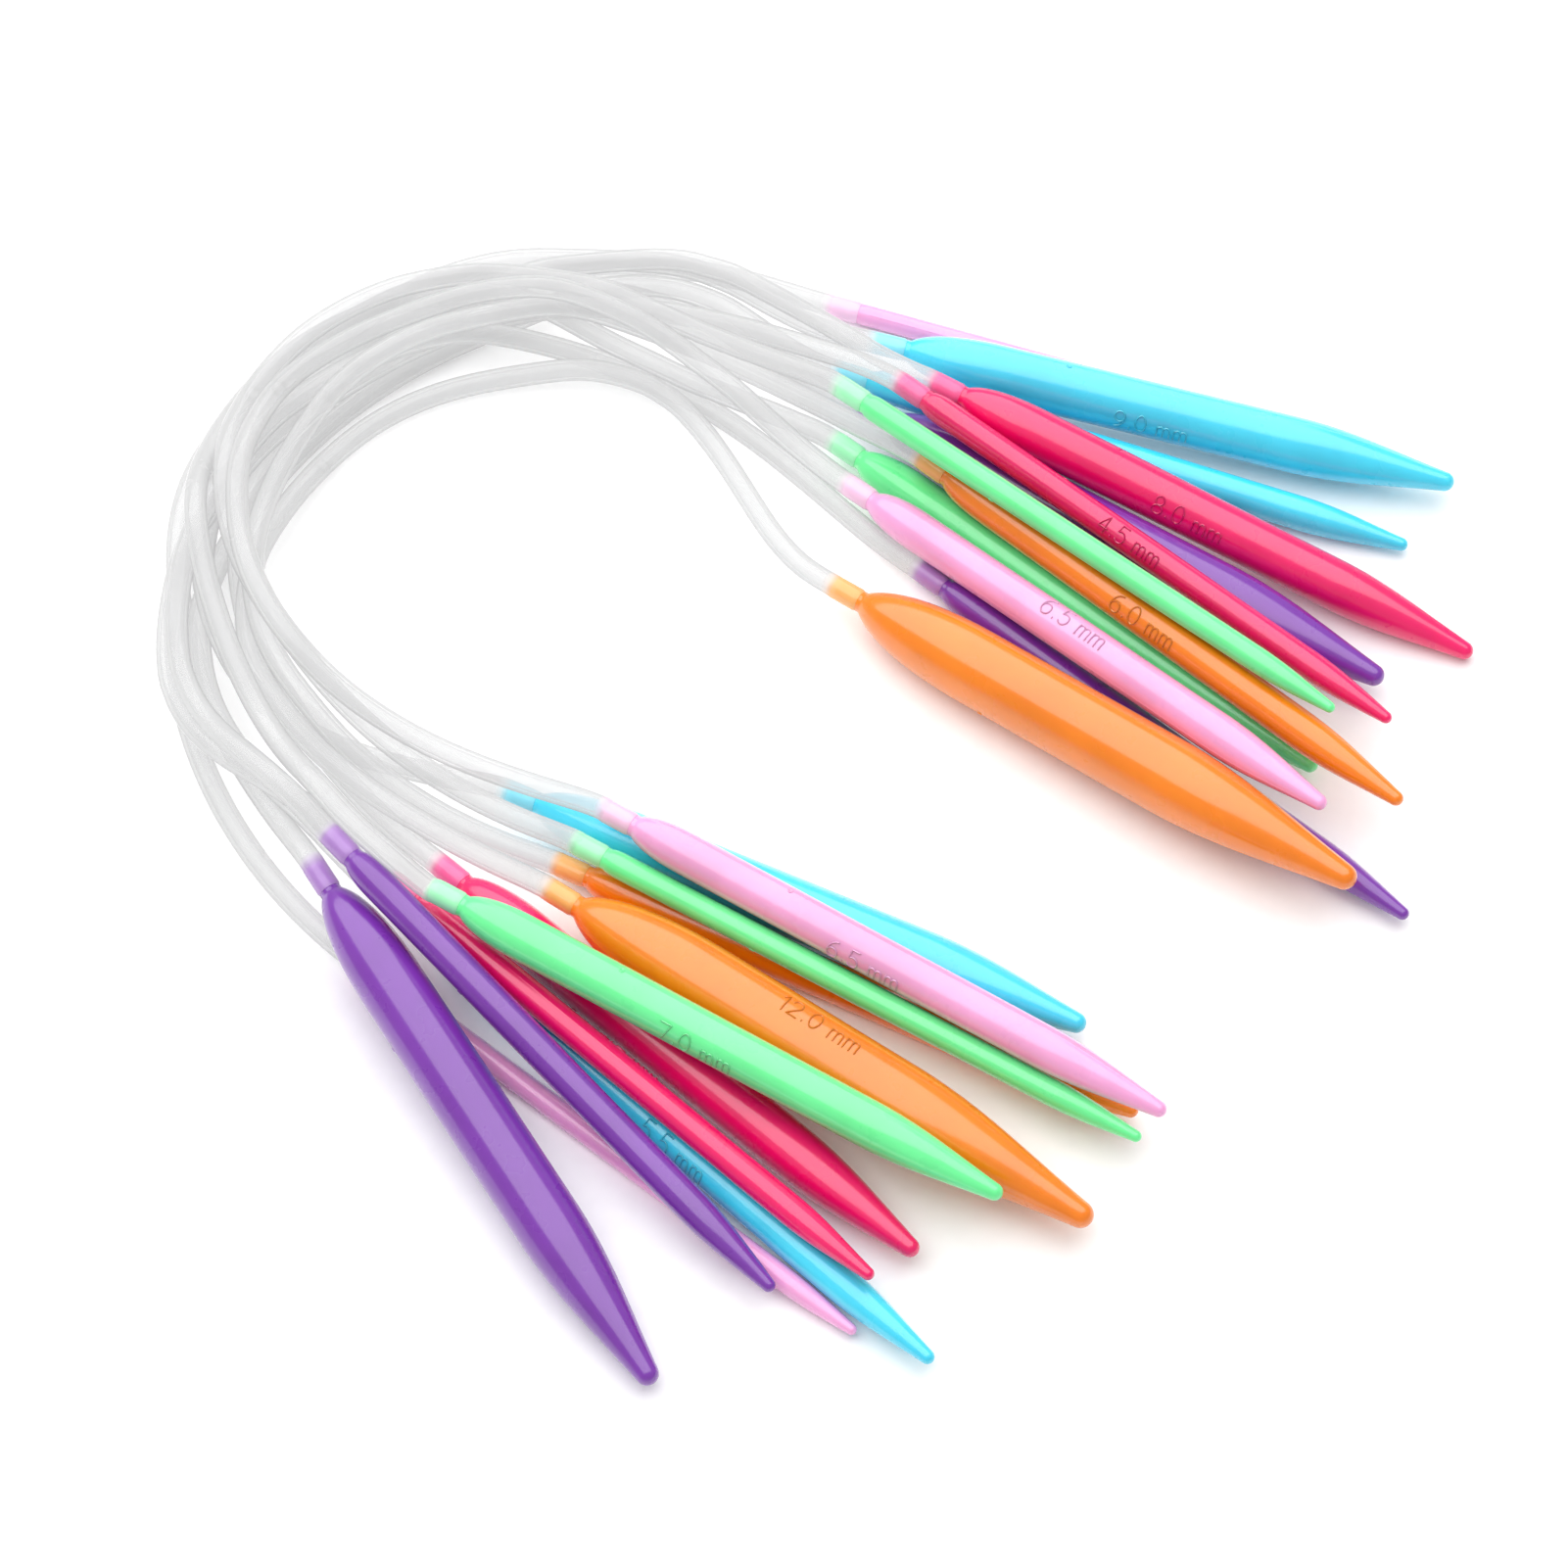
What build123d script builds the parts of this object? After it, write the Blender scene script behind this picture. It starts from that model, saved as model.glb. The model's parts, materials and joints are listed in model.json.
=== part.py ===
from build123d import *

import math
import os

import numpy as np

# A set of twelve circular knitting needles lying in one loose pile. Each needle is two rigid
# plastic tips joined by a clear flexible tube. All the tubes gather in one bend, and the tips
# fan out from it to the right and to the left. Lengths are millimetres, +Z is up and z = 0 is
# the table the pile lies on.

# --- Tips ---------------------------------------------------------------------------------
TIP_LENGTH = 95.0  # from the hidden end of the stub to the rounded point
STUB_LENGTH = 4.5  # the part of the tip that sits inside the tube
STUB_RADIUS = 1.18
NECK_RADIUS = 1.72  # short plain neck just in front of the tube's end
NECK_LENGTH = 0.6
SHOULDER_SCALE = 6.3  # the rounded shoulder's length follows how far the barrel stands out
SHOULDER_POWER = 0.85
TAPER_BASE = 5.5  # the front taper's length is this much plus a share of the needle's size
TAPER_SHARE = 2.35
POINT_BASE = 0.6  # diameter of the rounded point, with its share of the needle's size
POINT_SHARE = 0.28

# --- Tubes --------------------------------------------------------------------------------
TUBE_RADIUS = 1.8
BORE_RADIUS = 1.2
RING_SPACING = 4  # the tube surface passes through a ring at every fourth point
TUBE_LENGTH = 225.0  # end to end, so that a whole needle measures 406 mm, or 16 inches

# --- The gathered bend --------------------------------------------------------------------
BEND_CENTRE = np.array([-35.0, 33.0])
RIGHT_SHOULDER = 69.0  # degrees round the bend centre where the right fan starts
LEFT_SHOULDER = 199.0
SHOULDER_RADIUS = 54.0  # distance of both flexing axes from the bend centre
OPENING = 20.0  # degrees each fan swings outwards about its axis
CLOSING = 8.0
CUT_CLEARANCE = 1.1  # half of the gap in a tube on its flexing axis

# --- The pile -----------------------------------------------------------------------------
STEP = 1.0  # spacing of the points that follow each needle
CLEARANCE = 0.2  # air between two needles that lie on each other
STRAIGHT_RUN = 3.0  # the tube leaves the stub in line with the tip for this far
SAG = 0.012  # how far an unsupported stretch drops in each settling pass
SETTLING_PASSES = 500
SOFTENING = 0.12  # extra height over what a tube crosses, given back when its kinks are rounded

# One row per needle, from the bottom of the pile to the top: size, right tip, left tip, and
# the tube's lane, which is its distance from the bend centre at the right shoulder, in the
# middle of the bend and at the left shoulder. A tip is the x and y of its stub end and the
# direction it points in, in degrees.
NEEDLES = [
    (3.5, (8, 92, -19), (-64, -31, -39), (70, 62, 62)),
    (10.0, (12, 69, -33), (-71, -19, -57), (60, 67, 58)),
    (5.5, (9, 75, -19), (-49, -31, -43), (62, 53, 58)),
    (9.0, (15, 79, -15), (-42, -3, -25), (65, 63, 52)),
    (8.0, (24, 68, -28), (-52, -16, -42), (64, 57, 48)),
    (4.5, (18, 67, -39), (-59, -21, -42), (56, 54, 63)),
    (5.0, (21, 39, -41), (-68, -17, -46), (45, 54, 61)),
    (12.0, (8, 34, -36), (-35, -22, -34), (42, 48, 50)),
    (7.0, (8, 63, -40), (-52, -26, -30), (45, 63, 53)),
    (6.0, (22, 55, -42), (-34, -15, -26), (51, 51, 47)),
    (4.0, (9, 65, -39), (-31, -15, -30), (51, 62, 44)),
    (6.5, (10, 53, -42), (-27, -11, -31), (47, 57, 45)),
]


def direction(degrees):
    """Unit vector in the table plane."""
    angle = math.radians(degrees)
    return np.array([math.cos(angle), math.sin(angle)])


def cubic(corners, count):
    """Points along the cubic curve held by four corner points."""
    t = np.linspace(0.0, 1.0, count)[:, None]
    a, b, c, d = np.array(corners)
    return (1 - t) ** 3 * a + 3 * (1 - t) ** 2 * t * b + 3 * (1 - t) * t**2 * c + t**3 * d


def tip_curves(size):
    """Corner points (along the tip, radius) of the shoulder and of the front taper."""
    radius = size / 2
    neck_end = STUB_LENGTH + NECK_LENGTH
    rise = radius - NECK_RADIUS
    shoulder_length = SHOULDER_SCALE * rise**SHOULDER_POWER
    shoulder = [
        (neck_end, NECK_RADIUS),
        (neck_end + 0.15 * shoulder_length, NECK_RADIUS + 0.6 * rise),
        (neck_end + 0.5 * shoulder_length, radius),
        (neck_end + shoulder_length, radius),
    ]
    point_radius = (POINT_BASE + POINT_SHARE * size) / 2
    taper_length = TAPER_BASE + TAPER_SHARE * size
    slope = math.atan2(radius - point_radius, 0.8 * taper_length)
    end_x = TIP_LENGTH - point_radius * (1 - math.sin(slope))
    end_r = point_radius * math.cos(slope)
    reach = 0.35 * taper_length
    taper = [
        (TIP_LENGTH - taper_length, radius),
        (TIP_LENGTH - taper_length + reach, radius),
        (end_x - reach * math.cos(slope), end_r + reach * math.sin(slope)),
        (end_x, end_r),
    ]
    return shoulder, taper, point_radius


def tip_radii(size, along):
    """Radius at each distance along the tip, with the tube's radius over the stub."""
    shoulder, taper, point_radius = tip_curves(size)
    outline = np.vstack([
        [(-STRAIGHT_RUN, TUBE_RADIUS), (STUB_LENGTH, TUBE_RADIUS)],
        cubic(shoulder, 12),
        cubic(taper, 24),
        [(TIP_LENGTH, 0.5 * point_radius)],
    ])
    return np.interp(along, outline[:, 0], outline[:, 1])


def smooth_path(points, start, end):
    """Even plan curve through a few points, leaving and arriving in the given directions."""
    points = np.array(points, dtype=float)
    knots = np.concatenate([[0.0], np.cumsum(np.linalg.norm(np.diff(points, axis=0), axis=1))])
    span = np.diff(knots)
    count = len(points)
    matrix = np.eye(count)
    right = np.zeros((count, 2))
    right[0] = start
    right[-1] = end
    for i in range(1, count - 1):
        matrix[i, i - 1] = 1 / span[i - 1]
        matrix[i, i] = 2 / span[i - 1] + 2 / span[i]
        matrix[i, i + 1] = 1 / span[i]
        before = (points[i] - points[i - 1]) / span[i - 1] ** 2
        after = (points[i + 1] - points[i]) / span[i] ** 2
        right[i] = 3 * (before + after)
    slopes = np.linalg.solve(matrix, right)
    pieces = []
    for i in range(count - 1):
        lead = points[i] + slopes[i] * span[i] / 3
        trail = points[i + 1] - slopes[i + 1] * span[i] / 3
        pieces.append(cubic([points[i], lead, trail, points[i + 1]], 80)[:-1])
    pieces.append(points[-1:])
    return np.vstack(pieces)


def path_length(points):
    return float(np.linalg.norm(np.diff(points, axis=0), axis=1).sum())


def resample(points, step):
    """The same curve with evenly spaced points."""
    travelled = np.linalg.norm(np.diff(points, axis=0), axis=1)
    travelled = np.concatenate([[0.0], np.cumsum(travelled)])
    places = np.linspace(0.0, travelled[-1], int(round(travelled[-1] / step)) + 1)
    columns = [np.interp(places, travelled, points[:, i]) for i in range(points.shape[1])]
    return np.column_stack(columns)


def tube_plan(right, left, lanes):
    """Plan curve of a tube from its right stub end round the bend to its left stub end."""
    middle = (RIGHT_SHOULDER + LEFT_SHOULDER) / 2
    quarter = (LEFT_SHOULDER - RIGHT_SHOULDER) / 4
    points = [
        right[:2],
        BEND_CENTRE + lanes[0] * direction(RIGHT_SHOULDER),
        BEND_CENTRE + (0.4 * lanes[0] + 0.6 * lanes[1]) * direction(middle - quarter),
        BEND_CENTRE + lanes[1] * direction(middle),
        BEND_CENTRE + (0.4 * lanes[2] + 0.6 * lanes[1]) * direction(middle + quarter),
        BEND_CENTRE + lanes[2] * direction(LEFT_SHOULDER),
        left[:2],
    ]
    return smooth_path(points, -direction(right[2]), direction(left[2]))


def drawn_out(tip, distance):
    """The tip moved forwards along its own heading."""
    place = np.array(tip[:2]) + distance * direction(tip[2])
    return (place[0], place[1], tip[2])


def fitted_needle(right, left, lanes):
    """Slide both tips out or in by the same amount until exactly one tube is used up."""
    wanted = TUBE_LENGTH - 2 * STUB_LENGTH
    low, high = -20.0, 20.0
    for _ in range(40):
        pull = (low + high) / 2
        plan = tube_plan(drawn_out(right, pull), drawn_out(left, pull), lanes)
        if path_length(plan) < wanted:
            low = pull
        else:
            high = pull
    return drawn_out(right, pull), drawn_out(left, pull), resample(plan, STEP), pull


def resting_heights(plan, radii, below):
    """Lowest heights that clear the table and every needle already in the pile."""
    heights = radii.copy()
    if len(below) == 0:
        return heights
    for i, (x, y) in enumerate(plan):
        reach = radii[i] + below[:, 3] + CLEARANCE
        apart = (below[:, 0] - x) ** 2 + (below[:, 1] - y) ** 2
        near = apart < reach**2
        if near.any():
            over = below[near, 2] + np.sqrt(reach[near] ** 2 - apart[near])
            heights[i] = max(heights[i], over.max())
    return heights


def lay_tip(tip, size, below):
    """Rest a stiff tip on the pile. Gives its points, radii, stub end and unit direction."""
    along = np.arange(-STRAIGHT_RUN, TIP_LENGTH + 0.5, STEP / 2)
    radii = tip_radii(size, along)
    heading = direction(tip[2])
    plan = np.array(tip[:2]) + along[:, None] * heading
    floor = resting_heights(plan, radii, below)
    balance = 0.52 * TIP_LENGTH
    rear = np.flatnonzero(along < balance)[:, None]
    front = np.flatnonzero(along >= balance)[None, :]
    slopes = (floor[front] - floor[rear]) / (along[front] - along[rear])
    levels = floor[rear] + slopes * (balance - along[rear])
    highest = np.unravel_index(np.argmax(levels), levels.shape)
    height = levels[highest]
    slope = slopes[highest]
    heights = height + slope * (along - balance)
    level = math.hypot(1.0, slope)
    unit = np.array([heading[0], heading[1], slope]) / level
    base = np.array([tip[0], tip[1], height - slope * balance])
    return np.column_stack([plan, heights, radii]), base, unit


def lay_tube(plan, right_base, right_unit, left_base, left_unit, below):
    """Settle a tube on the pile between its two tips. Gives its centreline."""
    radii = np.full(len(plan), TUBE_RADIUS)
    floor = resting_heights(plan, radii, below)
    floor = np.where(floor > TUBE_RADIUS, floor + SOFTENING, floor)
    held = int(STRAIGHT_RUN / STEP) + 1
    from_right = np.arange(held) * STEP
    right_end = right_base[2] - from_right * right_unit[2] / math.hypot(*right_unit[:2])
    left_end = left_base[2] - from_right * left_unit[2] / math.hypot(*left_unit[:2])
    heights = np.maximum(floor, np.linspace(right_base[2], left_base[2], len(plan)))
    kernel = np.array([1.0, 2.0, 3.0, 2.0, 1.0]) / 9.0
    for _ in range(SETTLING_PASSES):
        heights[:held] = right_end
        heights[-held:] = left_end[::-1]
        padded = np.pad(heights, 2, mode="reflect", reflect_type="odd")
        heights = np.maximum(np.convolve(padded, kernel, mode="valid") - SAG, floor)
    heights[:held] = right_end
    heights[-held:] = left_end[::-1]
    for _ in range(2):
        padded = np.pad(heights, 2, mode="reflect", reflect_type="odd")
        heights = np.convolve(padded, kernel, mode="valid")
        heights[:held] = right_end
        heights[-held:] = left_end[::-1]
    return np.column_stack([plan, heights])


def lay_pile():
    """Lay the needles one on another, from the bottom up."""
    pile = []
    below = np.zeros((0, 4))
    for size, right, left, lanes in NEEDLES:
        right, left, plan, pull = fitted_needle(right, left, lanes)
        right_cloud, right_base, right_unit = lay_tip(right, size, below)
        left_cloud, left_base, left_unit = lay_tip(left, size, below)
        line = lay_tube(plan, right_base, right_unit, left_base, left_unit, below)
        tube_cloud = np.column_stack([line, np.full(len(line), TUBE_RADIUS)])
        below = np.vstack([below, right_cloud, left_cloud, tube_cloud])
        pile.append({
            "name": str(size).replace(".", "_"),
            "size": size,
            "line": line,
            "right": (right_base, right_unit),
            "left": (left_base, left_unit),
            "pull": pull,
        })
    return pile


def split_line(line):
    """Split a centreline at both flexing axes, leaving a gap the fans can swing through."""
    gap_before = {}
    gap_after = {}
    for name, angle in (("right", RIGHT_SHOULDER), ("left", LEFT_SHOULDER)):
        outward = direction(angle)
        forward = direction(angle + 90)
        offset = line[:, :2] - (BEND_CENTRE + SHOULDER_RADIUS * outward)
        sideways = offset @ outward
        ahead = offset @ forward
        slack = np.where(sideways > 0, OPENING, CLOSING)
        half_gap = CUT_CLEARANCE + np.abs(sideways) * np.tan(np.radians(slack)) * 0.54
        near = np.linalg.norm(offset, axis=1) < 20.0
        gap_before[name] = int(np.flatnonzero(near & (ahead < -half_gap)).max())
        gap_after[name] = int(np.flatnonzero(near & (ahead > half_gap)).min())
    right_arm = line[: gap_before["right"] + 1]
    bend = line[gap_after["right"] : gap_before["left"] + 1]
    left_arm = line[gap_after["left"] :]
    return right_arm, bend, left_arm


def ring_plane(place, heading):
    """Plane square to a tube, with its first axis level."""
    sideways = np.cross([0.0, 0.0, 1.0], heading)
    return Plane(origin=tuple(place), x_dir=tuple(sideways), z_dir=tuple(heading))


def tube_skin(rings, ruled):
    """Curved surface through a row of rings, without its flat ends."""
    swept = Solid.make_loft(rings, ruled)
    return [face for face in swept.faces() if face.geom_type != GeomType.PLANE]


def hollow_tube(points, start, mouth=None):
    """Tube wall along a centreline. With a mouth, a straight length runs to it over a stub."""
    last = len(points) - 1
    places = list(range(0, last - RING_SPACING // 2, RING_SPACING)) + [last]
    planes = []
    for i in places:
        heading = points[min(i + 1, last)] - points[max(i - 1, 0)]
        planes.append(ring_plane(points[i], start if i == 0 else heading))
    skins = []
    ends = []
    for radius in (TUBE_RADIUS, BORE_RADIUS):
        rings = [Wire([Edge.make_circle(radius, plane)]) for plane in planes]
        skins += tube_skin(rings, False)
        first = rings[0]
        if mouth is not None:
            first = Wire([Edge.make_circle(radius, ring_plane(mouth, start))])
            skins += tube_skin([first, rings[0]], True)
        ends.append((first, rings[-1]))
    caps = [Face(wide, [narrow]) for wide, narrow in zip(*ends)]
    return Solid(Shell(skins + caps))


def bend_tube(points):
    return hollow_tube(points, points[1] - points[0])


def arm_tube(points, base, unit):
    """Tube from its open end over the stub, then along the pile to the flexing axis."""
    return hollow_tube(points, -unit, mouth=base + STUB_LENGTH * unit)


def solid_tip(size, base, unit):
    """Tip turned about its own axis: stub, neck, shoulder, barrel, taper and rounded point."""
    shoulder, taper, point_radius = tip_curves(size)
    slope_point = taper[-1]
    middle_angle = (math.acos(slope_point[1] / point_radius) + math.pi / 2) / 2
    point_centre = TIP_LENGTH - point_radius
    on_point = (
        point_centre + point_radius * math.sin(middle_angle),
        point_radius * math.cos(middle_angle),
    )
    neck_start = (STUB_LENGTH, NECK_RADIUS)
    outline = [
        Line((0.3, 0), (0.3, STUB_RADIUS - 0.3)),
        Line((0.3, STUB_RADIUS - 0.3), (0.6, STUB_RADIUS)),
        Line((0.6, STUB_RADIUS), (STUB_LENGTH, STUB_RADIUS)),
        Line((STUB_LENGTH, STUB_RADIUS), neck_start),
        Line(neck_start, shoulder[0]),
        Bezier(*shoulder),
        Line(shoulder[-1], taper[0]),
        Bezier(*taper),
        ThreePointArc(slope_point, on_point, (TIP_LENGTH, 0)),
        Line((TIP_LENGTH, 0), (0.3, 0)),
    ]
    turned = revolve(make_face(outline), axis=Axis.X)
    frame = Plane(origin=tuple(base), x_dir=tuple(unit), z_dir=tuple(upright(unit)))
    return frame * turned


def upright(unit):
    """Direction square to a tip that points as nearly up as it can."""
    up = np.array([0.0, 0.0, 1.0]) - unit[2] * unit
    return up / np.linalg.norm(up)


def build_needle(needle):
    """Five solids: two tips, and one tube in the three lengths between its flexing axes."""
    right_base, right_unit = needle["right"]
    left_base, left_unit = needle["left"]
    right_arm, bend, left_arm = split_line(needle["line"])
    name = needle["name"]
    return {
        "tip_right_" + name: solid_tip(needle["size"], right_base, right_unit),
        "tube_right_" + name: arm_tube(right_arm, right_base, right_unit),
        "tube_bend_" + name: bend_tube(bend),
        "tube_left_" + name: arm_tube(left_arm[::-1], left_base, left_unit),
        "tip_left_" + name: solid_tip(needle["size"], left_base, left_unit),
    }


solids = {}
for needle in lay_pile():
    solids.update(build_needle(needle))

# The origin is moved to the table under the middle of the whole pile.
box = Compound(children=[Compound(solid.wrapped) for solid in solids.values()]).bounding_box()
centring = Location((-(box.min.X + box.max.X) / 2, -(box.min.Y + box.max.Y) / 2, -box.min.Z))
print("centring", centring.position)

os.makedirs("parts", exist_ok=True)
for name, solid in solids.items():
    export_step(centring * solid, "parts/" + name + ".step")
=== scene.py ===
"""Looks of twelve circular knitting needles in a loose pile: glossy moulded tips in six colours
with raised size marks, joined in pairs by clear, slightly milky tubes."""

import json
import math

import bpy
import numpy as np
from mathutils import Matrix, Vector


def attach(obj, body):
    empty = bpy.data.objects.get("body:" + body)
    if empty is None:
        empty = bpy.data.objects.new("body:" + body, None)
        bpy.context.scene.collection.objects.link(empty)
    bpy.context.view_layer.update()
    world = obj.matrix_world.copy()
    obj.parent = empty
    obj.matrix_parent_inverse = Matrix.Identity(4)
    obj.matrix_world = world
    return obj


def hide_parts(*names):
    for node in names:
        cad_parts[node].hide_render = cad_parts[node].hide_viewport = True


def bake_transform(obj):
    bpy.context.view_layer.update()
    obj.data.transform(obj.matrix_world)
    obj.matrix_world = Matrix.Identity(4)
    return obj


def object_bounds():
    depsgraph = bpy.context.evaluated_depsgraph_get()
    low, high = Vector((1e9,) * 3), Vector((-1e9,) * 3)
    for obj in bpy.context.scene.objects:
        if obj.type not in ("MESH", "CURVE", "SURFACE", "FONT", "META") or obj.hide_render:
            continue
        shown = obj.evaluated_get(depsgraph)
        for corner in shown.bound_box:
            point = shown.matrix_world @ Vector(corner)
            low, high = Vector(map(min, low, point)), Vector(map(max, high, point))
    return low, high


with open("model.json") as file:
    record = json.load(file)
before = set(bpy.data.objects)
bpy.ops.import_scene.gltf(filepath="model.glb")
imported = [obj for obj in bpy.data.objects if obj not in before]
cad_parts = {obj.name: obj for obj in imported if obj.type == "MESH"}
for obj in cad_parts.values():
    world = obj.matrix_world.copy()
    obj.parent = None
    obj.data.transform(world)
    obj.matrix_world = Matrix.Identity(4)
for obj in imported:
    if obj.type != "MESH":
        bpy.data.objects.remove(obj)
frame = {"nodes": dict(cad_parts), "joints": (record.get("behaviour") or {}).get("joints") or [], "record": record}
cad_low, cad_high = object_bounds()
record = frame["record"]

# Lengths below are millimetres; MM turns them into the scene's metres.
MM = 0.001
SHARP_ANGLE = 55.0  # edges bent more than this many degrees stay crisp

# --- Shape of a tip, as in the CAD -----------------------------------------------------------
TIP_LENGTH = 95.0
STUB_START = 0.3
STUB_LENGTH = 4.5
STUB_RADIUS = 1.18
NECK_RADIUS = 1.72
NECK_LENGTH = 0.6
SHOULDER_SCALE = 6.3
SHOULDER_POWER = 0.85
SHOULDER_LEAN = (0.15, 0.6)  # where the shoulder first heads: shares of its length and its rise
SHOULDER_LEVEL = 0.5  # share of the shoulder's length over which it levels out
TAPER_BASE = 5.5
TAPER_SHARE = 2.35
TAPER_SLOPE = 0.8  # share of the taper's length that sets how steeply it meets the point
TAPER_REACH = 0.35  # share of the taper's length over which each of its ends holds its direction
POINT_BASE = 0.6
POINT_SHARE = 0.28
NECK_EDGE = 0.12  # rounding of the step between the stub and the neck
BARREL_STEP = 0.9  # spacing of the rings along the straight barrel

# --- Moulding detail on a tip ----------------------------------------------------------------
RIDGE_HEIGHT = 0.045  # the parting line stands this far out of the surface
RIDGE_WIDTH = 0.11
WAVE_HEIGHT = 0.012  # gentle sink marks left by cooling
COLUMNS_PER_SIDE = 30  # plain columns between one parting line and the other
MARK_START = 40.0  # the size mark starts this far from the stub's end
MARK_RISE = 0.2  # how far the strokes stand out
MARK_TALLEST = 3.0  # height of the characters on the biggest tips
MARK_SPACING = 0.24  # gap between characters, as a share of their height
MARK_FOOT = 0.06  # strokes start this far inside the surface
MARK_SHADE = 0.72  # share of the tip's colour that the raised strokes keep: painted shade that darkens the size marks
STROKE_WIDTH = 0.16  # half of a stroke's width on a mark of full height
GATE_START = 31.0  # place of the small moulding gate scar, from the stub's end
GATE_RADIUS = 0.45

# --- Tubes -----------------------------------------------------------------------------------
TUBE_RADIUS = 1.8
BORE_RADIUS = 1.2
TUBE_COLUMNS = 40  # points round each wall of a tube
MARCH = 1.0  # spacing of the rings along a tube
SLAB = 2.6  # half of the length of tube looked at to centre one ring
FAIRING = 4.0  # how strongly small steps in a tube's line are smoothed
MOUTH_LIP = 0.16  # rounding of the cut end of a tube
BREATHING = 0.008  # share by which a tube's thickness wanders along it
TINT_FADE = 1.6  # the stub's colour shines this far into the tube behind it
TUBE_PAINTED_GLOW = 0.41  # painted glow: strength of the light the tube walls give off, which brightens every layer in place of light scattered inside the milky wall
SHADOW_SHARE = 0.15  # a clear tube throws only this much of the shadow of a solid one
RIGHT_SHOULDER = 69.0  # directions of the two flexing axes from the bend's centre, in degrees
LEFT_SHOULDER = 199.0

# --- Light -----------------------------------------------------------------------------------
AMBIENT = 0.45  # strength of the white surroundings as a light
KEY_AZIMUTH = -155.0  # the soft box stands behind the pile, to the left
KEY_ELEVATION = 68.0
KEY_DISTANCE = 1.1  # metres, as are the sizes below
KEY_WIDTH = 2.0
KEY_HEIGHT = 1.8
KEY_POWER = 24.0
FLOOR_HALF = 2.0
FLOOR_NEAR = 0.25  # beyond this distance the floor starts to turn plain white
FLOOR_FAR = 1.2

# --- Camera ----------------------------------------------------------------------------------
CAMERA_ELEVATION = 59.1
CAMERA_DISTANCE = 0.622
CAMERA_LENS = 92.8
CAMERA_SENSOR = 36.0
LOOK_OFFSET = (34.0, -31.5, 0.0)  # from the bend's centre to the middle of the view

# --- Colours, as displayed (sRGB) ------------------------------------------------------------
PLASTIC = {
    "pink": (0.99, 0.68, 0.88),
    "green": (0.45, 1.0, 0.63),
    "magenta": (0.97, 0.03, 0.42),
    "purple": (0.49, 0.20, 0.67),
    "blue": (0.28, 0.88, 1.0),
    "orange": (1.0, 0.53, 0.01),
}

# Degrees round each tip at which its size mark sits: 0 is on top, negative turns it towards
# the side that faces the viewer. Tips not listed have rolled so that the mark is underneath.
MARK_ROLL = {
    "right_3_5": -120.0,
    "right_10_0": -60.0,
    "right_9_0": -72.0,
    "right_8_0": -53.0,
    "right_4_5": -30.0,
    "right_6_0": -43.0,
    "right_6_5": 5.0,
    "left_6_5": -66.0,
    "left_7_0": -65.0,
    "left_5_5": -45.0,
    "left_12_0": 18.0,
    "left_4_5": 100.0,
}
HIDDEN_ROLL = 160.0


def linear(colour):
    """Displayed colour as light amounts."""
    channels = [c / 12.92 if c <= 0.04045 else ((c + 0.055) / 1.055) ** 2.4 for c in colour]
    return (*channels, 1.0)


def direction(degrees):
    angle = math.radians(degrees)
    return np.array([math.cos(angle), math.sin(angle), 0.0])


def normalised(vector):
    return vector / np.linalg.norm(vector)


def smoothstep(low, high, value):
    share = np.clip((value - low) / (high - low), 0.0, 1.0)
    return share * share * (3 - 2 * share)


def cubic(corners, count):
    """Points along the cubic curve held by four corner points."""
    t = np.linspace(0.0, 1.0, count)[:, None]
    a, b, c, d = np.array(corners)
    return (1 - t) ** 3 * a + 3 * (1 - t) ** 2 * t * b + 3 * (1 - t) * t**2 * c + t**3 * d


def node_points(node):
    """A CAD node's vertices in millimetres."""
    mesh = frame["nodes"][node].data
    flat = np.zeros(len(mesh.vertices) * 3, dtype=np.float32)
    mesh.vertices.foreach_get("co", flat)
    return flat.reshape(-1, 3).astype(float) / MM


# --- Meshes ----------------------------------------------------------------------------------
class Shape:
    """Vertices and faces being gathered for one mesh."""

    def __init__(self):
        self.vertices = []
        self.faces = []
        self.slots = []
        self.count = 0

    def add(self, points):
        """Adds points and gives the index of the first."""
        first = self.count
        self.vertices.append(np.asarray(points, dtype=float).reshape(-1, 3))
        self.count += len(self.vertices[-1])
        return first

    def strip(self, first, second, columns, slot=0):
        """Faces between two rings of the same number of points."""
        for k in range(columns):
            after = (k + 1) % columns
            self.faces.append((first + k, first + after, second + after, second + k))
            self.slots.append(slot)

    def skin(self, rings, slot=0):
        """Faces through a row of rings. Gives the index of each ring."""
        starts = [self.add(ring) for ring in rings]
        for one, other in zip(starts, starts[1:]):
            self.strip(one, other, len(rings[0]), slot)
        return starts

    def close(self, ring, columns, pole, facing_back, slot=0):
        """Fan from a ring to one point."""
        centre = self.add([pole])
        for k in range(columns):
            after = (k + 1) % columns
            pair = (ring + after, ring + k) if facing_back else (ring + k, ring + after)
            self.faces.append((centre, *pair))
            self.slots.append(slot)

    def build(self, name, materials):
        mesh = bpy.data.meshes.new(name)
        points = np.vstack(self.vertices) * MM
        mesh.from_pydata(points.tolist(), [], self.faces)
        for material in materials:
            mesh.materials.append(material)
        mesh.polygons.foreach_set("material_index", self.slots)
        mesh.polygons.foreach_set("use_smooth", [True] * len(self.faces))
        mesh.set_sharp_from_angle(angle=math.radians(SHARP_ANGLE))
        mesh.update()
        made = bpy.data.objects.new(name, mesh)
        bpy.context.scene.collection.objects.link(made)
        return made


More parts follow.
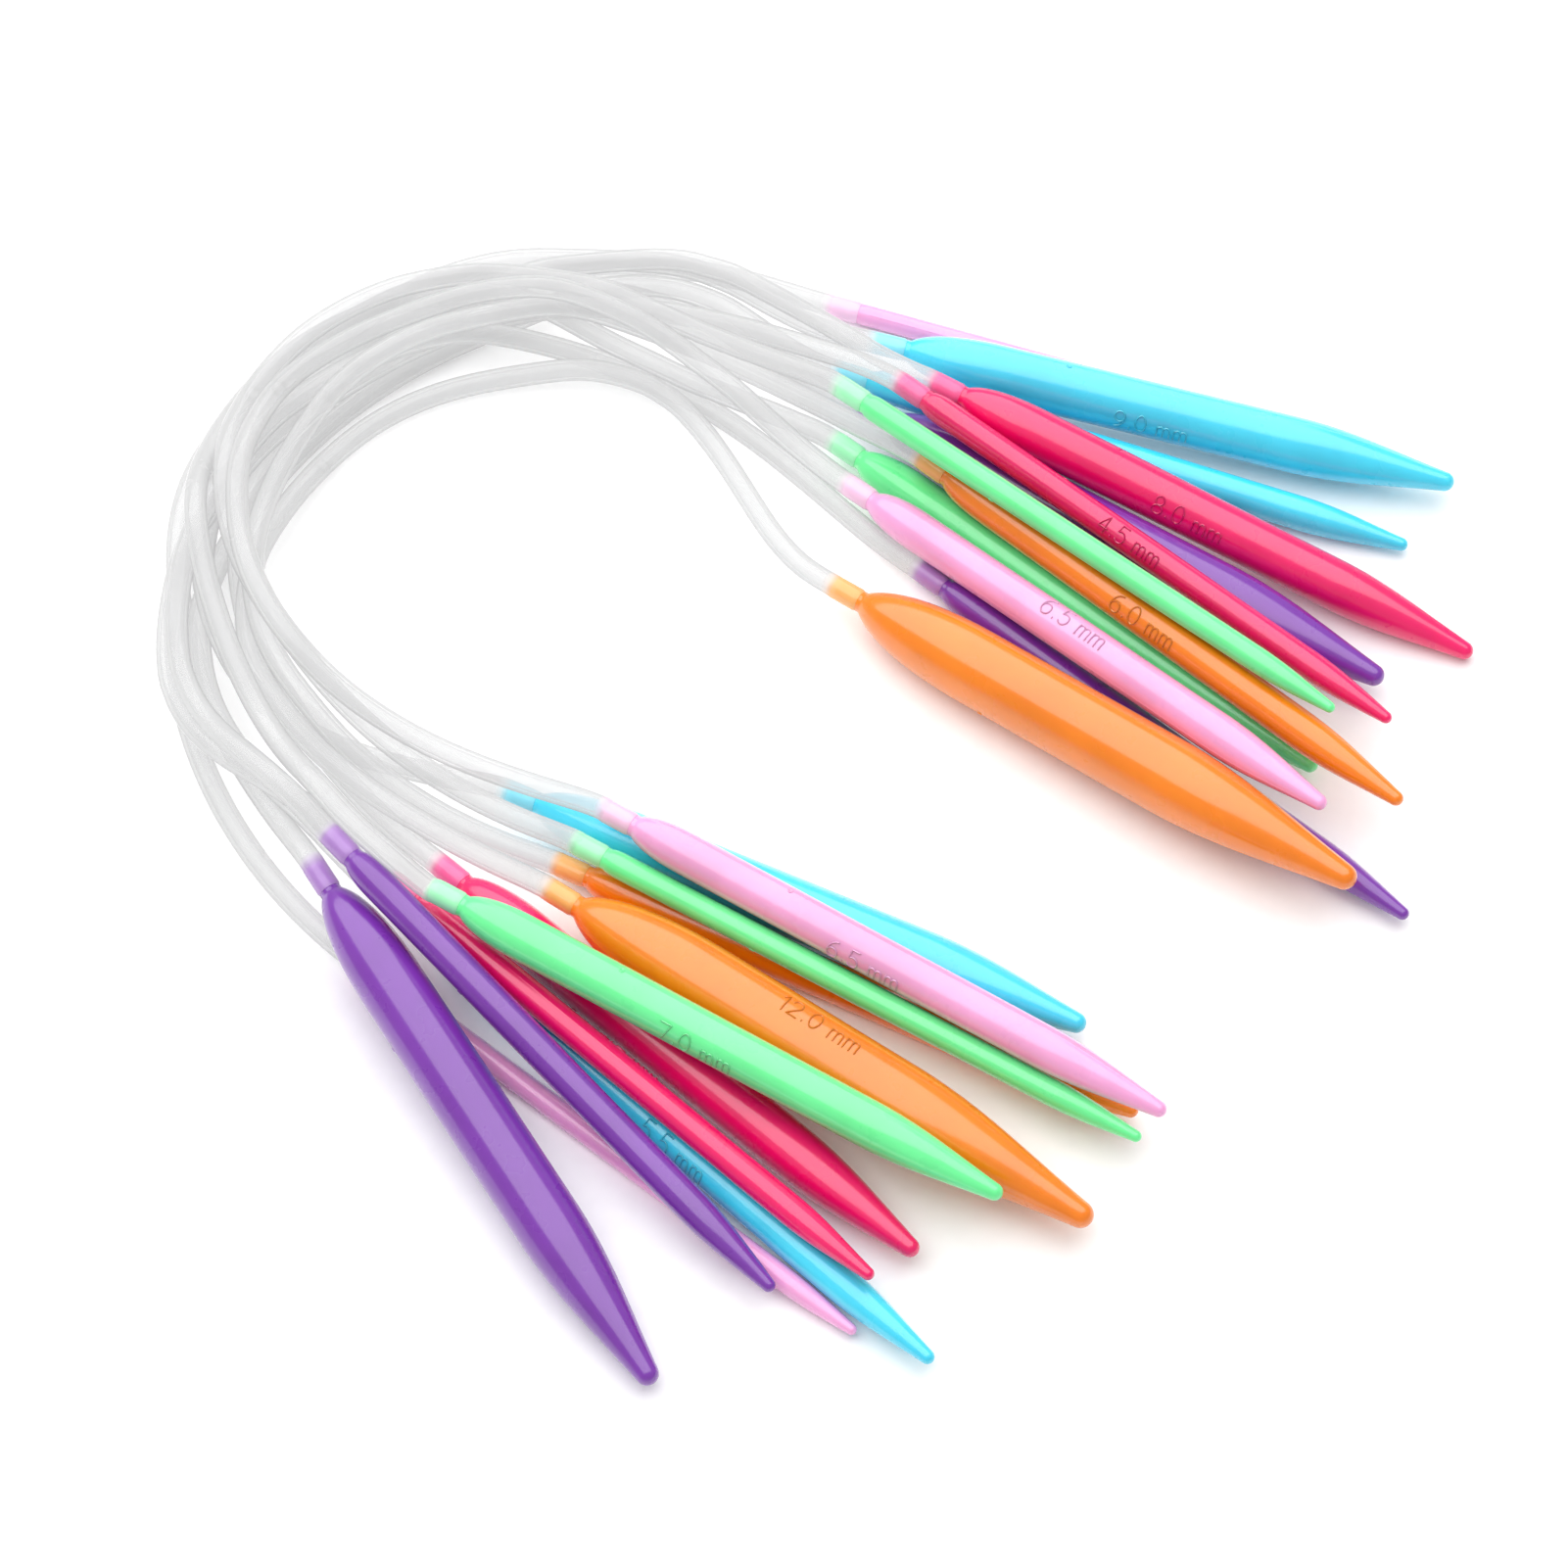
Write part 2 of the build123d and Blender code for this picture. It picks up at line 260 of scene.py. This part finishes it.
# --- Tips ------------------------------------------------------------------------------------
def tip_curves(size):
    """Corner points (along the tip, radius) of the shoulder and of the front taper."""
    radius = size / 2
    neck_end = STUB_LENGTH + NECK_LENGTH
    rise = radius - NECK_RADIUS
    shoulder_length = SHOULDER_SCALE * rise**SHOULDER_POWER
    shoulder = [
        (neck_end, NECK_RADIUS),
        (neck_end + SHOULDER_LEAN[0] * shoulder_length, NECK_RADIUS + SHOULDER_LEAN[1] * rise),
        (neck_end + SHOULDER_LEVEL * shoulder_length, radius),
        (neck_end + shoulder_length, radius),
    ]
    point_radius = (POINT_BASE + POINT_SHARE * size) / 2
    taper_length = TAPER_BASE + TAPER_SHARE * size
    slope = math.atan2(radius - point_radius, TAPER_SLOPE * taper_length)
    end_x = TIP_LENGTH - point_radius * (1 - math.sin(slope))
    end_r = point_radius * math.cos(slope)
    reach = TAPER_REACH * taper_length
    taper = [
        (TIP_LENGTH - taper_length, radius),
        (TIP_LENGTH - taper_length + reach, radius),
        (end_x - reach * math.cos(slope), end_r + reach * math.sin(slope)),
        (end_x, end_r),
    ]
    return shoulder, taper, point_radius, slope


def tip_outline(size):
    """Closely spaced (along the tip, radius) points from the stub's end to the point."""
    shoulder, taper, point_radius, slope = tip_curves(size)
    stub = [
        (STUB_START, 0.45 * STUB_RADIUS),
        (STUB_START, STUB_RADIUS - 0.3),
        (STUB_START + 0.04, STUB_RADIUS - 0.22),
        (STUB_START + 0.3, STUB_RADIUS),
        (STUB_START + 0.4, STUB_RADIUS),
        (STUB_LENGTH - 0.05, STUB_RADIUS),
        (STUB_LENGTH, STUB_RADIUS + 0.03),
        (STUB_LENGTH, NECK_RADIUS - NECK_EDGE),
        (STUB_LENGTH + 0.4 * NECK_EDGE, NECK_RADIUS - 0.3 * NECK_EDGE),
        (STUB_LENGTH + NECK_EDGE, NECK_RADIUS),
    ]
    barrel_start = shoulder[-1][0]
    barrel_end = taper[0][0]
    steps = max(4, int((barrel_end - barrel_start) / BARREL_STEP))
    barrel = [(x, size / 2) for x in np.linspace(barrel_start, barrel_end, steps)[1:-1]]
    turns = np.linspace(math.pi / 2 - slope, 0.0, 12)[1:-1]
    centre = TIP_LENGTH - point_radius
    nose = [(centre + point_radius * math.cos(a), point_radius * math.sin(a)) for a in turns]
    return np.vstack([stub, cubic(shoulder, 22), barrel, cubic(taper, 34), nose])


def tip_angles(size, seam):
    """Angles of the columns round a tip, gathered closely at its two parting lines."""
    close = RIDGE_WIDTH * np.array([-2.2, -1.3, -0.6, 0.0, 0.6, 1.3, 2.2]) / (size / 2)
    plain = np.linspace(close[-1], math.pi + close[0], COLUMNS_PER_SIDE + 2)[1:-1]
    half = np.concatenate([close, plain])
    return np.concatenate([half, half + math.pi]) + seam


def arc(cx, cy, rx, ry, start, end, count=14):
    turns = np.radians(np.linspace(start, end, count))
    return np.column_stack([cx + rx * np.cos(turns), cy + ry * np.sin(turns)])


def glyph_strokes(character):
    """Strokes of one character in a box of height 1, and its width."""
    six = [arc(0.52, 0.36, 0.52, 0.62, 92, 180), arc(0.28, 0.30, 0.28, 0.30, 180, 540, 22)]
    three = [arc(0.27, 0.76, 0.25, 0.24, 150, -85), arc(0.27, 0.26, 0.28, 0.26, 85, -150)]
    five = [[(0.52, 1.0), (0.1, 1.0), (0.05, 0.56)], arc(0.26, 0.32, 0.29, 0.32, 125, -145)]
    arch = np.vstack([arc(0.17, 0.44, 0.17, 0.2, 180, 0, 10), [(0.34, 0.0)]])
    shapes = {
        "0": [arc(0.28, 0.5, 0.28, 0.5, 90, 450, 24)],
        "1": [np.array([(0.06, 0.78), (0.28, 1.0), (0.28, 0.0)])],
        "2": [np.vstack([arc(0.28, 0.71, 0.27, 0.29, 165, -38), [(0.0, 0.0), (0.56, 0.0)]])],
        "3": [np.vstack(three)],
        "4": [np.array([(0.42, 0.0), (0.42, 1.0), (0.0, 0.3), (0.58, 0.3)])],
        "5": [np.vstack(five)],
        "6": six,
        "7": [np.array([(0.0, 1.0), (0.56, 1.0), (0.2, 0.0)])],
        "8": [arc(0.28, 0.76, 0.23, 0.24, 90, 450, 20), arc(0.28, 0.26, 0.28, 0.26, 90, 450, 20)],
        "9": [np.array([0.56, 1.0]) - stroke for stroke in six],
        ".": [np.array([(0.06, 0.02), (0.06, 0.08)])],
        "m": [np.array([(0.0, 0.0), (0.0, 0.64)]), arch, arch + np.array([0.34, 0.0])],
        " ": [],
    }
    widths = {"1": 0.34, ".": 0.12, "m": 0.68, " ": 0.16}
    return shapes[character], widths.get(character, 0.56)


def densified(stroke, spacing):
    """A stroke with extra points on its long straight runs."""
    points = [stroke[0]]
    for before, after in zip(stroke, stroke[1:]):
        pieces = max(1, int(math.ceil(np.linalg.norm(after - before) / spacing)))
        points += [before + (after - before) * k / pieces for k in range(1, pieces + 1)]
    return np.array(points)


class TipFrame:
    """Where a tip lies: its stub end, its direction and two directions across it."""

    def __init__(self, side, name):
        found = [m for m in record["mounts"] if m["name"] == f"barrel_{side}_{name}"][0]
        self.size = 2 * found["dims"]["r_mm"]
        self.unit = normalised(np.array(found["axis"], dtype=float))
        middle = np.array(found["pos_m"]) / MM
        ahead = (node_points(f"tip_{side}_{name}") - middle) @ self.unit
        self.base = middle + (ahead.min() - STUB_START) * self.unit
        self.level = normalised(np.cross([0.0, 0.0, 1.0], self.unit))
        self.upright = np.cross(self.unit, self.level)

    def place(self, along, radius, angle):
        """Points at distances along the tip, radii and angles round it, measured from the top."""
        along, radius, angle = np.broadcast_arrays(along, radius, angle)
        across = np.cos(angle)[..., None] * self.upright + np.sin(angle)[..., None] * self.level
        return self.base + along[..., None] * self.unit + radius[..., None] * across


def add_mark(shape, tip, roll):
    """Raised size mark that reads from the stub towards the point."""
    radius = tip.size / 2
    height = min(MARK_TALLEST, 0.5 + 0.52 * tip.size)
    gap = MARK_SPACING * height
    width = STROKE_WIDTH * (0.55 + 0.15 * height)
    cursor = MARK_START
    around = np.linspace(0.0, 2 * math.pi, 9)[:-1]
    for character in f"{tip.size:.1f} mm":
        strokes, advance = glyph_strokes(character)
        for stroke in strokes:
            path = densified(stroke * height, 0.35)
            heading = np.gradient(path, axis=0)
            heading /= np.linalg.norm(heading, axis=1)[:, None] + 1e-9
            lead = path[0] - 0.8 * width * heading[0]
            trail = path[-1] + 0.8 * width * heading[-1]
            path = np.vstack([lead, path, trail])
            heading = np.vstack([heading[0], heading, heading[-1]])
            share = np.ones(len(path))
            share[0] = share[-1] = 0.45
            rings = []
            for point, ahead, part in zip(path, heading, share):
                across = np.array([-ahead[1], ahead[0]])
                flat = point + (width * part * np.cos(around))[:, None] * across
                rise = radius - MARK_FOOT + (MARK_RISE + MARK_FOOT) * part * np.sin(around)
                angle = roll + (flat[:, 1] - height / 2) / radius
                rings.append(tip.place(cursor + flat[:, 0], rise, angle))
            starts = shape.skin(rings)
            shape.close(starts[0], len(around), rings[0].mean(axis=0), True)
            shape.close(starts[-1], len(around), rings[-1].mean(axis=0), False)
        cursor += advance * height + gap


def add_gate(shape, tip, roll):
    """Small round scar where the plastic was fed into the mould."""
    radius = tip.size / 2
    around = np.linspace(0.0, 2 * math.pi, 17)[:-1]
    steps = [(1.0, -0.25), (1.0, 0.05), (0.9, 0.12), (0.7, 0.13), (0.55, 0.08), (0.3, 0.05)]
    rings = []
    for part, rise in steps:
        spread = GATE_RADIUS * part
        angle = roll + spread * np.sin(around) / radius
        rings.append(tip.place(GATE_START + spread * np.cos(around), radius + rise, angle))
    starts = shape.skin(rings)
    shape.close(starts[0], len(around), rings[0].mean(axis=0), True)
    shape.close(starts[-1], len(around), rings[-1].mean(axis=0), False)


def make_tip(side, name, materials):
    tip = TipFrame(side, name)
    roll = math.radians(MARK_ROLL.get(f"{side}_{name}", HIDDEN_ROLL))
    seam = roll + math.pi / 2
    outline = tip_outline(tip.size)
    angles = tip_angles(tip.size, seam)
    along = outline[:, 0][:, None]
    radius = outline[:, 1][:, None]
    from_seam = np.abs(np.sin(angles - seam)) * radius
    ridge = RIDGE_HEIGHT * np.exp(-((from_seam / RIDGE_WIDTH) ** 2))
    ridge = ridge * smoothstep(5.2, 8.0, along) * (1 - smoothstep(91.0, 94.5, along))
    phase = tip.size + (3.0 if side == "left" else 0.0)
    wave = np.sin(along / 6.1 + phase) + np.sin(along / 10.7 + 2.3 * phase + np.cos(angles))
    wave = WAVE_HEIGHT * wave * smoothstep(9.0, 14.0, along) * (1 - smoothstep(80.0, 92.0, along))
    points = tip.place(along, radius + ridge + wave, angles[None, :])
    shape = Shape()
    starts = shape.skin(list(points))
    columns = len(angles)
    rear = tip.base + STUB_START * tip.unit
    shape.close(starts[0], columns, rear, True)
    shape.close(starts[-1], columns, tip.base + TIP_LENGTH * tip.unit, False)
    add_gate(shape, tip, seam)
    plain_count = shape.count
    add_mark(shape, tip, roll)
    slot = slot_of[f"tip_{side}_{name}"]
    made = shape.build(f"tip_{side}_{name}_look", [materials[slot]])
    raised = np.arange(shape.count) >= plain_count
    attribute = made.data.attributes.new("mark", "FLOAT", "POINT")
    attribute.data.foreach_set("value", raised.astype(np.float32))
    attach(made, f"{side}_{name}")
    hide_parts(f"tip_{side}_{name}")
    return tip


# --- Tubes -----------------------------------------------------------------------------------
def centred(guess, heading, cloud):
    """The middle of the tube beside a guess, or None where the tube is cut."""
    offset = cloud - guess
    ahead = offset @ heading
    radial = offset - ahead[:, None] * heading
    reach = np.linalg.norm(radial, axis=1)
    near = (np.abs(ahead) < SLAB) & (reach < 2 * TUBE_RADIUS)
    if near.sum() < 16:
        return None
    level = normalised(np.cross([0.0, 0.0, 1.0], heading))
    upright = np.cross(heading, level)
    flat = np.column_stack([radial[near] @ level, radial[near] @ upright])
    centre = flat.mean(axis=0)
    for _ in range(4):
        spoke = flat - centre
        length = np.linalg.norm(spoke, axis=1)
        wall = np.where(length > (TUBE_RADIUS + BORE_RADIUS) / 2, TUBE_RADIUS, BORE_RADIUS)
        centre = centre + np.linalg.lstsq(spoke / length[:, None], length - wall, rcond=None)[0]
    return guess + centre[0] * level + centre[1] * upright


def faired(points, known):
    """The same row of points with its gaps bridged and its small steps smoothed."""
    bending = np.diff(np.eye(len(points)), 2, axis=0)
    hold = np.where(known, 1.0, 0.0)
    hold[:6] = 100.0
    hold[-6:] = 100.0
    matrix = np.diag(hold) + FAIRING * bending.T @ bending
    return np.linalg.solve(matrix, hold[:, None] * points)


def centreline(name, right, left):
    """Middle of a whole tube, from its mouth on the right tip to its mouth on the left tip."""
    nodes = [f"tube_right_{name}", f"tube_bend_{name}", f"tube_left_{name}"]
    cloud = np.vstack([node_points(node) for node in nodes])
    mouth = np.arange(STUB_LENGTH, -0.5, -MARCH / 2)[:, None]
    points = [right.base]
    known = [True]
    heading = -right.unit
    turn = np.zeros(3)
    while (left.base - points[-1]) @ heading > 1.2 * MARCH or len(points) < 100:
        guess = points[-1] + MARCH * heading
        found = centred(guess, heading, cloud)
        known.append(found is not None)
        points.append(guess if found is None else found)
        if len(points) > 8:
            ahead = normalised(points[-1] - points[-4])
            before = normalised(points[-4] - points[-7])
            if found is not None:
                turn = (ahead - before) / 3
                heading = normalised(ahead + 1.5 * turn)
            else:
                heading = normalised(heading + turn)
    points.append(left.base)
    known.append(True)
    middle = faired(np.array(points), np.array(known))
    right_mouth = right.base + mouth[:-1] * right.unit
    left_mouth = (left.base + mouth[:-1] * left.unit)[::-1]
    return np.vstack([right_mouth, middle, left_mouth])


def wall_rings(line, radius, columns):
    """Rings of a tube wall along a line."""
    heading = np.gradient(line, axis=0)
    heading /= np.linalg.norm(heading, axis=1)[:, None]
    level = np.cross([0.0, 0.0, 1.0], heading)
    level /= np.linalg.norm(level, axis=1)[:, None]
    upright = np.cross(heading, level)
    around = np.linspace(0.0, 2 * math.pi, columns + 1)[:-1]
    spread = np.asarray(radius)[:, None, None]
    level_share = np.cos(around)[None, :, None]
    upright_share = np.sin(around)[None, :, None]
    across = level_share * level[:, None] + upright_share * upright[:, None]
    return line[:, None] + spread * across


def half_tube(name, side, line, materials, phase):
    """One half of a tube, from its open mouth over the stub to the middle of the bend."""
    travelled = np.concatenate([[0.0], np.cumsum(np.linalg.norm(np.diff(line, axis=0), axis=1))])
    over_stub = 1 - smoothstep(STUB_LENGTH - 0.8, STUB_LENGTH + 2.0, travelled)
    ripples = np.sin(travelled / 9.0 + phase) + np.sin(travelled / 23.0 + 2 * phase)
    breathing = BREATHING * ripples
    outer_radius = TUBE_RADIUS * (1 + breathing) + 0.05 * over_stub
    bore_radius = BORE_RADIUS * (1 + breathing) + 0.02 * over_stub
    outer_radius[0] -= MOUTH_LIP
    bore_radius[0] += MOUTH_LIP * 0.6
    outer = wall_rings(line, outer_radius, TUBE_COLUMNS)
    bore = wall_rings(line, bore_radius, TUBE_COLUMNS)
    shape = Shape()
    forwards = side == "right"
    outer_starts = shape.skin(list(outer if forwards else outer[::-1]))
    bore_starts = shape.skin(list(bore[::-1] if forwards else bore))
    mouth_outer, seam_outer = (outer_starts[0], outer_starts[-1])
    mouth_bore, seam_bore = (bore_starts[-1], bore_starts[0])
    if forwards:
        shape.strip(mouth_bore, mouth_outer, TUBE_COLUMNS, 0)
        shape.strip(seam_outer, seam_bore, TUBE_COLUMNS, 1)
    else:
        shape.strip(seam_outer, seam_bore, TUBE_COLUMNS, 0)
        shape.strip(mouth_bore, mouth_outer, TUBE_COLUMNS, 1)
    slot = slot_of[f"tip_{side}_{name}"]
    made = shape.build(f"tube_{side}_{name}_look", [materials[slot], materials["seam"]])
    count = len(line)
    tint = 1 - smoothstep(STUB_LENGTH - 0.1, STUB_LENGTH + TINT_FADE, travelled)
    order = tint if forwards else tint[::-1]
    values = np.concatenate([np.repeat(order, TUBE_COLUMNS), np.repeat(order[::-1], TUBE_COLUMNS)])
    inner = np.concatenate([np.zeros(count * TUBE_COLUMNS), np.ones(count * TUBE_COLUMNS)])
    for label, data in (("tint", values), ("bore", inner)):
        attribute = made.data.attributes.new(label, "FLOAT", "POINT")
        attribute.data.foreach_set("value", data.astype(np.float32))
    return made


def make_tube(name, right, left, materials):
    line = centreline(name, right, left)
    middle = len(line) // 2
    halves = {"right": line[: middle + 1], "left": line[middle:][::-1]}
    for side, half in halves.items():
        made = half_tube(name, side, half, materials, right.size)
        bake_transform(made)
        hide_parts(f"tube_{side}_{name}", f"tube_bend_{name}")


# --- Materials -------------------------------------------------------------------------------
class Nodes:
    """Short way to build a node material."""

    def __init__(self, name):
        self.material = bpy.data.materials.new(name)
        self.material.use_nodes = True
        self.tree = self.material.node_tree
        self.tree.nodes.clear()
        self.output = self.add("ShaderNodeOutputMaterial")

    def add(self, kind, inputs=None, **settings):
        node = self.tree.nodes.new(kind)
        for key, value in settings.items():
            setattr(node, key, value)
        for key, value in (inputs or {}).items():
            self.set(node, key, value)
        return node

    def set(self, node, key, value):
        if isinstance(value, bpy.types.NodeSocket):
            self.tree.links.new(value, node.inputs[key])
        else:
            node.inputs[key].default_value = value

    def noise(self, scale, detail=2.0, roughness=0.5):
        place = self.add("ShaderNodeTexCoord").outputs["Object"]
        inputs = {"Vector": place, "Scale": scale, "Detail": detail, "Roughness": roughness}
        return self.add("ShaderNodeTexNoise", inputs).outputs["Fac"]

    def ranged(self, value, low, high):
        inputs = {"Value": value, "From Min": 0.3, "From Max": 0.7, "To Min": low, "To Max": high}
        return self.add("ShaderNodeMapRange", inputs).outputs["Result"]

    def span(self, value, start, end, low, high):
        """A value that goes smoothly from low to high as another goes from start to end."""
        inputs = {"Value": value, "From Min": start, "From Max": end}
        inputs.update({"To Min": low, "To Max": high})
        node = self.add("ShaderNodeMapRange", inputs, interpolation_type="SMOOTHSTEP")
        return node.outputs["Result"]

    def mixed(self, factor, first, second):
        node = self.add("ShaderNodeMix", data_type="RGBA")
        self.set(node, 0, factor)
        self.set(node, 6, first)
        self.set(node, 7, second)
        return node.outputs[2]

    def finish(self, shader):
        self.tree.links.new(shader, self.output.inputs["Surface"])
        return self.material


def moulded_plastic(slot):
    """Glossy moulded plastic: faint flow streaks in colour and gloss over a fine skin, and painted shade on the
    raised size marks.
    """
    n = Nodes(f"plastic_{slot}")
    colour = linear(PLASTIC[slot])
    deep = tuple(c * 0.86 for c in colour[:3]) + (1.0,)
    streaks = n.ranged(n.noise(70.0, 3.0, 0.6), 0.0, 1.0)
    mark = n.add("ShaderNodeAttribute", attribute_name="mark").outputs["Fac"]
    # Painted shade: the raised strokes of the size mark take a darker copy of the tip's colour.
    painted_mark_shade = tuple(c * MARK_SHADE for c in colour[:3]) + (1.0,)
    dimples = n.noise(160.0, 0.0, 0.5)
    bump = n.add("ShaderNodeBump", {"Strength": 0.02, "Distance": 0.0001, "Height": dimples})
    surface = n.add(
        "ShaderNodeBsdfPrincipled",
        {
            "Base Color": n.mixed(mark, n.mixed(streaks, colour, deep), painted_mark_shade),
            "Roughness": n.ranged(n.noise(180.0, 3.0, 0.6), 0.24, 0.36),
            "Subsurface Weight": 0.25,
            "Subsurface Radius": (1.0, 0.8, 0.8),
            "Subsurface Scale": 0.0012,
            "Specular IOR Level": 0.3,
            "Coat Weight": 0.9,
            "Coat IOR": 1.62,
            "Coat Roughness": 0.14,
            "Normal": bump.outputs[0],
        },
    )
    return n.finish(surface.outputs[0])


def clear_tube(slot):
    """Clear, slightly milky tube that takes the tip's colour where the stub fills it."""
    n = Nodes(f"tube_{slot}")
    colour = PLASTIC[slot]
    pale = linear(tuple(0.58 * c + 0.42 for c in colour))
    tint = n.add("ShaderNodeAttribute", attribute_name="tint").outputs["Fac"]
    bore = n.add("ShaderNodeAttribute", attribute_name="bore").outputs["Fac"]
    facing = n.add("ShaderNodeLayerWeight", {"Blend": 0.5}).outputs["Facing"]
    haze = n.ranged(n.noise(90.0, 3.0, 0.6), -0.03, 0.03)
    rim = n.span(facing, 0.20, 0.80, 0.40, 0.90)
    wall = n.add("ShaderNodeMath", {0: rim, 1: haze}, operation="ADD")
    thin = n.span(facing, 0.20, 0.80, 0.05, 0.45)
    cover = n.add("ShaderNodeMix", {0: bore, 2: wall.outputs[0], 3: thin}).outputs[0]
    filled = n.add("ShaderNodeMix", {0: bore, 2: 0.86, 3: 0.4}).outputs[0]
    cover = n.add("ShaderNodeMix", {0: tint, 2: cover, 3: filled}).outputs[0]
    shadow = n.add("ShaderNodeLightPath").outputs["Is Shadow Ray"]
    let_through = n.span(shadow, 0.0, 1.0, 1.0, SHADOW_SHARE)
    cover = n.add("ShaderNodeMath", {0: cover, 1: let_through}, operation="MULTIPLY").outputs[0]
    # Painted shade: the milky colour darkens towards each tube's outline, in place of the dark edges that
    # refraction gives a clear tube.
    edge = n.span(facing, 0.22, 0.82, 0.0, 1.0)
    milky_with_painted_rim_shade = n.mixed(edge, (0.42, 0.42, 0.42, 1.0), (0.26, 0.26, 0.262, 1.0))
    # Painted glow: the tube walls give off light of their own, weaker towards their rims, so every layer of tube
    # looks brighter.
    glow = n.mixed(edge, (1.0, 1.0, 1.0, 1.0), (0.52, 0.52, 0.52, 1.0))
    ripple = n.noise(110.0, 0.0, 0.4)
    bump = n.add("ShaderNodeBump", {"Strength": 0.02, "Distance": 0.0001, "Height": ripple})
    body = n.add(
        "ShaderNodeBsdfPrincipled",
        {
            "Base Color": n.mixed(tint, milky_with_painted_rim_shade, pale),
            "Roughness": n.ranged(n.noise(160.0, 3.0, 0.6), 0.16, 0.28),
            "Specular IOR Level": 0.5,
            "Coat Weight": 0.4,
            "Coat Roughness": 0.06,
            "Emission Color": n.mixed(tint, glow, pale),
            "Emission Strength": n.span(tint, 0.0, 1.0, TUBE_PAINTED_GLOW, 0.0),
            "Normal": bump.outputs[0],
        },
    )
    glassy = n.mixed(shadow, (0.94, 0.94, 0.942, 1.0), (0.99, 0.99, 0.99, 1.0))
    through = n.add("ShaderNodeBsdfTransparent", {"Color": glassy})
    mixed = n.add("ShaderNodeMixShader", {0: cover, 1: through.outputs[0], 2: body.outputs[0]})
    return n.finish(mixed.outputs[0])


def unseen():
    """Where the two halves of a tube meet there is nothing to see."""
    n = Nodes("tube_seam")
    return n.finish(n.add("ShaderNodeBsdfTransparent").outputs[0])


# --- Studio ----------------------------------------------------------------------------------
def soft_box(name, azimuth, elevation, distance, width, height, power):
    """Rectangular light that faces the middle of the pile."""
    data = bpy.data.lights.new(name, "AREA")
    data.shape = "RECTANGLE"
    data.size = width
    data.size_y = height
    data.energy = power
    made = bpy.data.objects.new(name, data)
    bpy.context.scene.collection.objects.link(made)
    aim(made, azimuth, elevation, distance)


def aim(thing, azimuth, elevation, distance):
    """Puts a light or the camera at a distance from the target and turns it to face it."""
    flat = math.cos(math.radians(elevation))
    rise = math.sin(math.radians(elevation))
    away = direction(azimuth - 90) * flat + np.array([0.0, 0.0, rise])
    place = target * MM + away * distance
    back = away
    right = normalised(np.cross([0.0, 0.0, 1.0], back))
    above = np.cross(back, right)
    rows = [[right[i], above[i], back[i], place[i]] for i in range(3)] + [[0.0, 0.0, 0.0, 1.0]]
    thing.matrix_world = Matrix(rows)


def make_floor():
    """Plain white floor under the pile."""
    low = cad_low.z
    half = FLOOR_HALF
    mesh = bpy.data.meshes.new("floor")
    corners = [(-half, -half, low), (half, -half, low), (half, half, low), (-half, half, low)]
    mesh.from_pydata(corners, [], [(0, 1, 2, 3)])
    made = bpy.data.objects.new("floor", mesh)
    bpy.context.scene.collection.objects.link(made)
    n = Nodes("floor_paper")
    grain = n.ranged(n.noise(300.0, 2.0, 0.5), 0.93, 0.96)
    paper = n.add("ShaderNodeBsdfDiffuse", {"Color": grain})
    place = n.add("ShaderNodeTexCoord").outputs["Object"]
    away = n.add("ShaderNodeVectorMath", {0: place}, operation="LENGTH").outputs["Value"]
    strength = n.span(away, FLOOR_NEAR, FLOOR_FAR, 0.05, 1.0)
    glow = n.add("ShaderNodeEmission", {"Color": (1.0, 1.0, 1.0, 1.0), "Strength": strength})
    both = n.add("ShaderNodeAddShader", {0: paper.outputs[0], 1: glow.outputs[0]})
    mesh.materials.append(n.finish(both.outputs[0]))


def make_world():
    """Even white surroundings: full strength to the eye, weaker as a light on the needles."""
    world = bpy.data.worlds.new("studio")
    bpy.context.scene.world = world
    world.use_nodes = True
    tree = world.node_tree
    path = tree.nodes.new("ShaderNodeLightPath")
    strength = tree.nodes.new("ShaderNodeMapRange")
    strength.inputs["To Min"].default_value = AMBIENT
    strength.inputs["To Max"].default_value = 1.0
    background = tree.nodes["Background"]
    background.inputs["Color"].default_value = (1.0, 1.0, 1.0, 1.0)
    tree.links.new(path.outputs["Is Camera Ray"], strength.inputs["Value"])
    tree.links.new(strength.outputs["Result"], background.inputs["Strength"])


# --- Build -----------------------------------------------------------------------------------
slot_of = {part["node"]: part["material_slot"] for part in record["subparts"]}
bodies = record["behaviour"]["bodies"]
names = [body[len("bend_"):] for body in bodies if body.startswith("bend_")]
plastics = {slot: moulded_plastic(slot) for slot in PLASTIC}
tubes = {slot: clear_tube(slot) for slot in PLASTIC}
tubes["seam"] = unseen()

hinges = {j["name"]: np.array(j["pos_m"]) / MM for j in frame["joints"] if j["type"] == "hinge"}
chord = hinges["swing_right"] - hinges["swing_left"]
half_turn = math.radians((LEFT_SHOULDER - RIGHT_SHOULDER) / 2)
inwards = np.array([chord[1], -chord[0], 0.0]) / (2 * math.tan(half_turn))
bend_centre = (hinges["swing_right"] + hinges["swing_left"]) / 2 + inwards
target = bend_centre + np.array(LOOK_OFFSET)

for name in names:
    right_tip = make_tip("right", name, plastics)
    left_tip = make_tip("left", name, plastics)
    make_tube(name, right_tip, left_tip, tubes)

make_floor()
soft_box("key", KEY_AZIMUTH, KEY_ELEVATION, KEY_DISTANCE, KEY_WIDTH, KEY_HEIGHT, KEY_POWER)

make_world()

bpy.context.scene.view_settings.view_transform = "Standard"

camera_data = bpy.data.cameras.new("camera")
camera_data.lens = CAMERA_LENS
camera_data.sensor_width = CAMERA_SENSOR
camera = bpy.data.objects.new("camera", camera_data)
bpy.context.scene.collection.objects.link(camera)
aim(camera, 0.0, CAMERA_ELEVATION, CAMERA_DISTANCE)
bpy.context.scene.camera = camera

bpy.context.view_layer.update()
